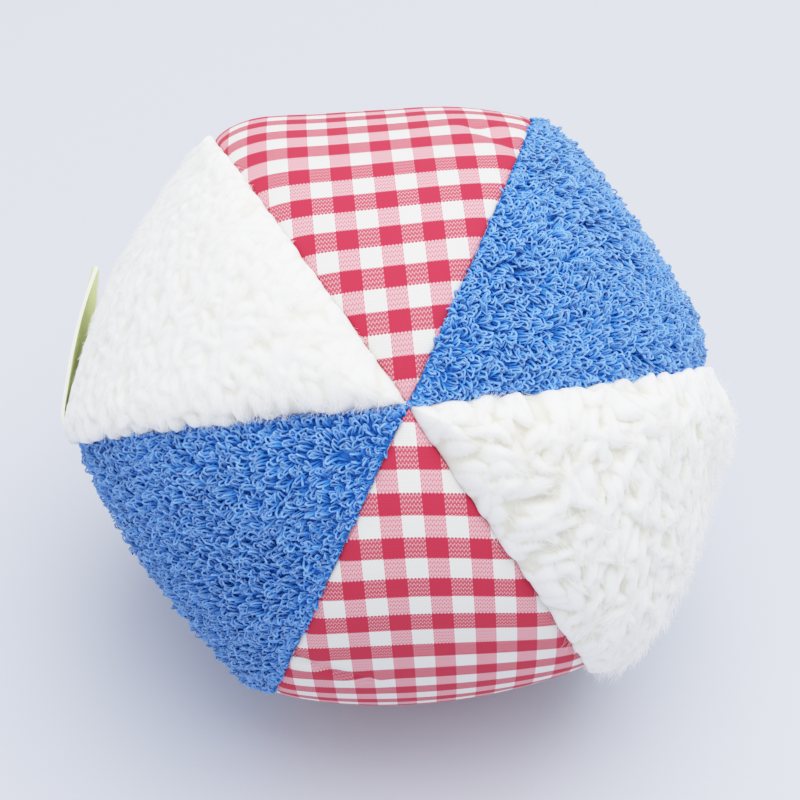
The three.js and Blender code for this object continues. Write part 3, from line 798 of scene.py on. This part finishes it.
# Fine hairs over the clumps: each leaves the surface towards the tip of its clump, where hairs gather and
# stand off the surface as a tuft. Along a hair, its lift goes as a power of 1.5 and its sway as a square.
def plushHairs(name, rear, seed):
    p, own = plushPile, plushPile[name]
    gore = goreNamed[name]
    rng = np.random.default_rng(seed)
    theta, across = pilePlaces(p["fuzz"][rear], rear, rng, p["seamShare"])
    count = len(theta)
    rise, _, lay, tip, _ = clumpField(gore, clumpsOf[name], theta, across)
    out = goreOut(gore, theta, across)
    away = fromSeam(theta, across)
    bed, share = pileBed(gore, away, across)
    surface = gorePoint(gore, theta, across, 0, 0 * theta)
    surfaceLift = bed + own["height"] * rise * share - seamDraw(away)
    root = gorePoint(gore, theta, across, 0, surfaceLift - p["hairSink"])
    toTip = tip - surface
    toTip = toTip - (toTip * out).sum(-1, keepdims=True) * out
    far = np.linalg.norm(toTip, axis=-1)
    strayed = unit(lay + rng.normal(0, p["hairStray"], (count, 3)))
    lay = unit(strayed + toTip / np.maximum(far, p["tipPull"])[:, None])
    lay = unit(lay - (lay * out).sum(-1, keepdims=True) * out)
    beside = np.cross(out, lay)
    grown = np.minimum(axisReach(theta) / p["poleShort"], 1)
    full = p["poleHair"] + (1 - p["poleHair"]) * grown
    length = own["hair"] * full * rng.uniform(*p["hairLengths"], count)
    length = length * heldBack(gore, root, length[:, None] * lay, p["overhang"])
    short = np.linalg.norm(tip - surface - length[:, None] * lay, axis=-1)
    standing = own["tuft"] * np.maximum(1 - short / (p["tuftShare"] * own["length"]), 0) * grown * share
    along = np.linspace(0, 1, p["rings"])[None, :]
    reach = length[:, None] * along
    lift = (p["hairLift"] * rng.uniform(*p["hairLifts"], count) + standing)[:, None] * along ** 1.5
    sway = p["hairSway"] * length[:, None] * rng.normal(0, 1, (count, 1)) * along ** 2
    paths = root[:, None] + lift[..., None] * out[:, None] + reach[..., None] * lay[:, None]
    paths = paths + sway[..., None] * beside[:, None]
    thick = p["hair"] * rng.uniform(*p["hairWidths"], (count, 1)) * (1 - p["hairTaper"] * along)
    rings = tubeRings(paths, thick, thick, p["sides"], beside[:, None])
    shown = np.broadcast_to(along[..., None], rings.shape[:3])
    layPile(name, "hairs", rear, rings, hairMaterial, dict(rise=shown), smooth=False)


for seed, name in enumerate(("plush_panel_left", "plush_panel_right")):
    plushHairs(name, False, 30 + seed)
    plushHairs(name, True, 40 + seed)
print("plush hairs combed")


# Thread

thread = dict(
    shades=("#c9c2b2", "#f4f0e6"), fuzz=0.3 * mm, plies=3, plyRadius=0.12 * mm, helix=0.12 * mm,
    pitch=2.5 * mm, step=0.5 * mm, sides=4, depth=1.25 * mm,  # below the smooth line of the seam
    tip=4.0 * mm, closingMiddle=125, closingLength=45 * mm, closingGap=0.3 * mm, ladder=(0.2 * mm, 3 * mm),
    knot=dict(ring=1.1 * mm, twist=0.45 * mm, depth=2.4 * mm, rings=90, turns=1.97 * math.pi),
)
# Spun polyester thread: three plies twisted together, with a soft sheen and a random grain between two creams
threadMaterial = grained("spun_polyester_thread", {"Roughness": 0.6, "Sheen Weight": 0.2}, thread["shades"],
                         thread["fuzz"])


# Plies wound round a path: each ply runs round it as a helix, a third of a turn from the next
def plyPaths(path, side):
    t = thread
    along = unit(np.gradient(path, axis=0))
    up = np.cross(along, side)
    steps = np.linalg.norm(np.diff(path, axis=0), axis=-1)
    length = np.concatenate([[0], np.cumsum(steps)])
    plies = []
    for ply in range(t["plies"]):
        angle = (2 * math.pi * (length / t["pitch"] + ply / t["plies"]))[:, None]
        plies.append(path + t["helix"] * (np.cos(angle) * side + np.sin(angle) * up))
    return np.stack(plies)


# A thread takes the place of its solid: plies of round section along their helices
def makeThread(name, path, side):
    t = thread
    plies = plyPaths(path, side)
    thick = np.full(plies.shape[:2], t["plyRadius"])
    rings = tubeRings(plies, thick, thick, t["sides"], side[None])
    pieceName = name.replace("thread", "stitching").replace("tack", "knot")
    fit(makePiece(pieceName, rings, tubeFaces(*rings.shape[:3]), threadMaterial), name)


# A seam's thread lies in the plane of the seam. The closing stitches step to both sides, square to that
# plane, as a ladder.
def seamThread(name, seam, start, stop, ladder=0.0):
    gore = gores[seam]
    count = int((stop - start) * ball["seamRadius"] / thread["step"])
    theta = np.linspace(start, stop, count)
    path = gorePoint(gore, theta, -np.ones(count), 0, -thread["depth"])
    square = gore["turn"] @ np.array([math.sin(halfGore), math.cos(halfGore), 0])
    swing = np.abs((theta * ball["seamRadius"] / thread["ladder"][1]) % 2 - 1) * 2 - 1
    path = path + ladder * swing[:, None] * square
    makeThread(name, path, np.broadcast_to(square, path.shape))


tipAngle = math.asin(thread["tip"] / ball["seamRadius"])
closingTurn = thread["closingLength"] / 2 / (0.5 * (ball["seamRadius"] + ball["poleRadius"]))
closingStart = math.radians(thread["closingMiddle"]) - closingTurn
closingStop = math.radians(thread["closingMiddle"]) + closingTurn
gapTurn = thread["closingGap"] / ball["seamRadius"]
for seam in (0, 2, 3, 4, 5):
    seamThread(f"seam_thread_{seam + 1}", seam, tipAngle, math.pi - tipAngle)
seamThread("seam_thread_2_front", 1, tipAngle, closingStart - gapTurn)
seamThread("closing_thread", 1, closingStart, closingStop, thread["ladder"][0])
seamThread("seam_thread_2_rear", 1, closingStop + gapTurn, math.pi - tipAngle)


# A tack at a pole: the thread drawn up in a trefoil knot under the tips of the gores
def poleTack(name, sign):
    k = thread["knot"]
    turn = np.linspace(0, k["turns"], k["rings"])
    reach = k["ring"] + k["twist"] * np.cos(3 * turn)
    around = np.cos(2 * turn)[:, None] * np.array([1, 0, 0]) + np.sin(2 * turn)[:, None] * imageUp
    flat = reach[:, None] * around
    high = k["twist"] * np.sin(3 * turn)[:, None] * poleAxis
    path = centre + sign * (ball["poleRadius"] - k["depth"]) * poleAxis + flat + high
    makeThread(name, path, np.broadcast_to(poleAxis, path.shape))


poleTack("pole_tack_front", 1)
poleTack("pole_tack_rear", -1)
print("seams stitched")


# Stuffing

stuffing = dict(
    reach=53.0 * mm, high=49.2 * mm, splitGap=0.3 * mm, pocket=16.8 * mm, lump=1.0 * mm, lumpSize=14 * mm,
    outerRows=30, splitRows=10, pocketRows=14, columns=84,
    poleStart=0.02, pocketEnd=0.03, lumpFade=0.3,  # radians from the axis, and how lumps fade to the split
    shades=("#ddd9cc", "#f7f5ee"), fibreSize=0.5 * mm, bump=dict(Strength=0.6, Distance=0.5 * mm),
)
# Polyester fibre stuffing: white carded wadding, matt, with fine crossing fibres and soft hollows
waddingMaterial = grained("polyester_fibre_wadding", {"Roughness": 0.95, "Sheen Weight": 0.2},
                          stuffing["shades"], stuffing["fibreSize"], stuffing["bump"],
                          Detail=4.0, Distortion=2.0)


# Half of the stuffing: a profile carried round the polar axis. It runs from the pole down an ellipse, in
# along the split and up the pocket round the rattle. Its outside is lumpy, as wadding is pushed in by hand.
def stuffingWad(name, sign, seed):
    p = stuffing
    quarter = np.linspace(p["poleStart"], math.pi / 2, p["outerRows"])
    level = np.linspace(p["reach"], p["pocket"], p["splitRows"] + 2)[1:-1]
    pocket = np.linspace(math.pi / 2, p["pocketEnd"], p["pocketRows"])
    reach = np.concatenate([p["reach"] * np.sin(quarter), level, p["pocket"] * np.sin(pocket)])
    top = p["high"] - p["splitGap"]
    high = np.concatenate([top * np.cos(quarter), 0 * level, p["pocket"] * np.cos(pocket)])
    lumpy = np.concatenate([np.cos(quarter) ** p["lumpFade"], 0 * level, 0 * pocket])
    turn = np.linspace(0, 2 * math.pi, p["columns"], endpoint=False)[None, :, None]
    away = np.cos(turn) * np.array([1, 0, 0]) + np.sin(turn) * imageUp
    rings = reach[:, None, None] * away + sign * (high + p["splitGap"])[:, None, None] * poleAxis
    lumps = p["lump"] * np.abs(waves(rings, p["lumpSize"], np.random.default_rng(seed))) * lumpy[:, None]
    rings = settle(centre + rings - lumps[..., None] * unit(rings))
    rows, columns = rings.shape[:2]
    faces = tubeFaces(1, rows, columns)
    if sign > 0:
        faces = [f[:, ::-1] for f in faces]
    piece = makePiece(name.replace("stuffing", "wadding"), rings, faces, waddingMaterial)
    fit(piece, name)


stuffingWad("stuffing_front", 1, 61)
stuffingWad("stuffing_rear", -1, 62)
print("stuffing pushed in")


# Rattle

rattle = dict(
    rattle_capsule=dict(slot="capsule_plastic", shades=("#e6e6da", "#f5f5ee"), rough=0.35, grain=0.4 * mm),
    rattle_pellet=dict(slot="pellet_plastic", shades=("#cfcdc6", "#e4e2dc"), rough=0.15, grain=1.5 * mm),
)
mouldBump = dict(Strength=0.15, Distance=0.05 * mm)
# Moulded polypropylene: even, slightly waxy, with a faint flow mottle and a fine moulded texture
for prefix, p in rattle.items():
    plastic = grained("moulded_polypropylene_" + p["slot"], {"Roughness": p["rough"], "IOR": 1.49},
                      p["shades"], p["grain"], mouldBump, Detail=3.0)
    for name in nodes:
        if name.startswith(prefix):
            nodes[name].material_slots[0].material = plastic
print("rattle finished")


# Label

label = dict(
    length=34 * mm, width=18 * mm, thick=0.28 * mm, fold=0.15 * mm, arcShare=1.12,
    sunk=0.6 * mm, rise=2.7 * mm, flare=0.8 * mm, flareSkew=0.9, twist=3.4 * mm,
    selvedge=1.2, rib=0.45, ribRow=0.7, bump=dict(Strength=0.3, Distance=0.05 * mm),
    # the deeper field green is painted shade in the troughs between ribs
    field="#e8f2a6", fieldDeep="#dce98c", edge="#f6f9e0", scatter=1 * mm,
    rows=46, foldRows=7, columns=25,
    bend=(1 * mm, 14 * mm),  # its root bends between these distances from the seam
)


# Woven polyester ribbon: matt, with fine ribs across, pale green with a cream selvedge down each edge
# The troughs between ribs are painted a deeper green as shade
def wovenRibbon():
    p = label
    material, tree, shader = newMaterial("woven_polyester_ribbon", {
        "Roughness": 0.6, "Specular IOR Level": 0.25, "Subsurface Weight": 0.2,
        "Subsurface Radius": (1.0, 1.0, 0.7), "Subsurface Scale": p["scatter"],
    })
    place = addNode(tree, "SeparateXYZ", [addNode(tree, "UVMap", uv_map="cloth")])
    ribs = addNode(tree, "Math", [place.outputs[1], p["rib"] / 2], operation="PINGPONG")
    ribHeight = addNode(tree, "MapRange", [ribs, 0, p["rib"] / 2])
    fromMiddle = addNode(tree, "Math", [place.outputs[0]], operation="ABSOLUTE")
    edgeStart = p["width"] / mm / 2 - p["selvedge"]
    isEdge = addNode(tree, "Math", [fromMiddle, edgeStart], operation="GREATER_THAN")
    # Painted shade: deeper green down in the rib troughs, paler on the rib crests
    shades = {0: ribHeight, 6: linear(p["fieldDeep"]), 7: linear(p["field"])}
    field = addNode(tree, "Mix", shades, data_type="RGBA")
    edged = addNode(tree, "Mix", {0: isEdge, 6: field, 7: linear(p["edge"])}, data_type="RGBA")
    bump = addNode(tree, "Bump", {**p["bump"], "Height": ribHeight})
    plug(tree, shader, {"Base Color": edged, "Normal": bump})
    return material


# A ribbon folded in half: along it a hairpin that goes out over the plush, round the fold and back on top,
# with a thickness to both sides. Its root is sunk in the pile, and it rises as the square of the way out.
# Across it the near edge flares from the ball as a skewed sine, and the far edge twists out as a cube.
def foldedLabel():
    p = label
    gore = goreNamed["plush_panel_left"]
    bendTurn = np.linspace(-math.pi / 2, math.pi / 2, p["foldRows"])[1:-1]
    leaf = np.linspace(0, p["length"] - p["fold"], p["rows"])
    along = np.concatenate([leaf, leaf[-1] + p["fold"] * np.cos(bendTurn), leaf[::-1]])
    above = np.concatenate([0 * leaf, p["fold"] * (1 + np.sin(bendTurn)), 0 * leaf + 2 * p["fold"]])
    slopeAlong, slopeAbove = np.gradient(along), np.gradient(above)
    steep = np.hypot(slopeAlong, slopeAbove)
    aside = np.linspace(-p["width"] / 2, p["width"] / 2, p["columns"])
    loop = np.concatenate([aside, aside[::-1]])[None, :]
    side = np.concatenate([-np.ones(p["columns"]), np.ones(p["columns"])])[None, :] * p["thick"] / 2
    s = along[:, None] - side * (slopeAbove / steep)[:, None]
    h = above[:, None] + side * (slopeAlong / steep)[:, None]
    halfChord = ball["seamRadius"] * math.sin(halfGore)
    across = 1 - s / (p["arcShare"] * halfChord)
    theta = math.pi / 2 - loop / ball["poleRadius"] + 0 * s
    away = fromSeam(theta, np.clip(across, -1, 1))
    bed, share = pileBed(gore, away, across)
    pile = bed + plushPile[gore["name"]]["height"] * share
    near = np.clip(0.5 + loop / p["width"], 0, 1)
    out = np.clip(s / p["length"], 0, 1)
    flare = p["flare"] * near ** 2 * np.sin(math.pi * out ** p["flareSkew"])
    bow = flare + p["twist"] * (1 - near) * out ** 3
    lift = pile - p["sunk"] * (1 - out) ** 2 + h + p["rise"] * out ** 2 + bow
    points = gorePoint(gore, theta, across, 0, lift)
    uv = np.stack([loop / mm + 0 * s, np.arange(len(along))[:, None] * p["ribRow"] + 0 * s], -1)
    faces = [f[:, ::-1] for f in tubeFaces(1, *points.shape[:2])]
    piece = makePiece("folded_label", points, faces, wovenRibbon(), uv)
    return piece


ribbon = foldedLabel()
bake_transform(ribbon)
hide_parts("side_label")
print("label folded")


# Studio: pale floor, soft light from above and a camera that looks along the polar axis

studio = dict(
    distance=342 * mm, lens=79.5, pixelsPerMillimetre=5.16,
    ballRight=1.5, ballBelow=5.5,  # pixels from the middle of the picture to the middle of the ball
    turnedAside=1.05,  # degrees between the view and the polar axis
    floor="#bec3d1", floorReach=8.0, sky="#f2f5fb", skyStrength=1.55,
    lampPlace=(0.15, -0.06, 1.14), lampSize=1.0, lampWatts=24.0,
    shoulder=4.0, filmPoints=13, filmSpacing=1.6,  # the curve of the film, with its points closer when dark
)


# Sets up the film, the camera, the floor, the sky and the lamp
def studioScene():
    s = studio
    scene = bpy.context.scene
    scene.view_settings.view_transform = "Standard"
    scene.view_settings.use_curve_mapping = True
    film = scene.view_settings.curve_mapping
    film.white_level = (s["shoulder"],) * 3
    # Highlights roll off as 1 - exp(-light), as on film
    for light in np.linspace(0, 1, s["filmPoints"])[1:-1] ** s["filmSpacing"]:
        film.curves[3].points.new(light, 1 - math.exp(-s["shoulder"] * light))
    film.curves[3].points[-1].location = (1, 1 - math.exp(-s["shoulder"]))
    film.update()
    camera = bpy.data.objects.new("camera", bpy.data.cameras.new("camera"))
    scene.collection.objects.link(camera)
    camera.data.lens = s["lens"]
    right = np.array([1.0, 0, 0])
    aside = math.radians(s["turnedAside"])
    view = math.cos(aside) * poleAxis - math.sin(aside) * right
    camera.location = Vector(centre + view * s["distance"])
    offset = (s["ballBelow"] * imageUp - s["ballRight"] * right) / s["pixelsPerMillimetre"] * mm
    aim = Vector(centre + offset) - camera.location
    camera.rotation_euler = aim.to_track_quat("-Z", "Y").to_euler()
    camera.data.clip_start = 0.01
    scene.camera = camera

    # Painted paper: matt, a pale blue grey
    floorMaterial, _, _ = newMaterial("painted_paper_floor", {
        "Roughness": 0.7, "Base Color": linear(s["floor"]), "Specular IOR Level": 0.1,
    })
    corners = s["floorReach"] * np.array([[-1, -1, 0], [1, -1, 0], [1, 1, 0], [-1, 1, 0]])
    floor = makePiece("floor", corners, [np.array([[0, 1, 2, 3]])], floorMaterial)

    world = bpy.data.worlds.new("studio")
    world.use_nodes = True
    sky = world.node_tree
    plug(sky, sky.nodes["Background"], {"Color": linear(s["sky"]), "Strength": s["skyStrength"]})
    scene.world = world
    lamp = bpy.data.objects.new("overhead", bpy.data.lights.new("overhead", "AREA"))
    scene.collection.objects.link(lamp)
    lamp.data.size = s["lampSize"]
    lamp.data.energy = s["lampWatts"]
    lamp.location = Vector(s["lampPlace"])
    lamp.rotation_euler = (Vector(centre) - lamp.location).to_track_quat("-Z", "Y").to_euler()


studioScene()
print("studio set")
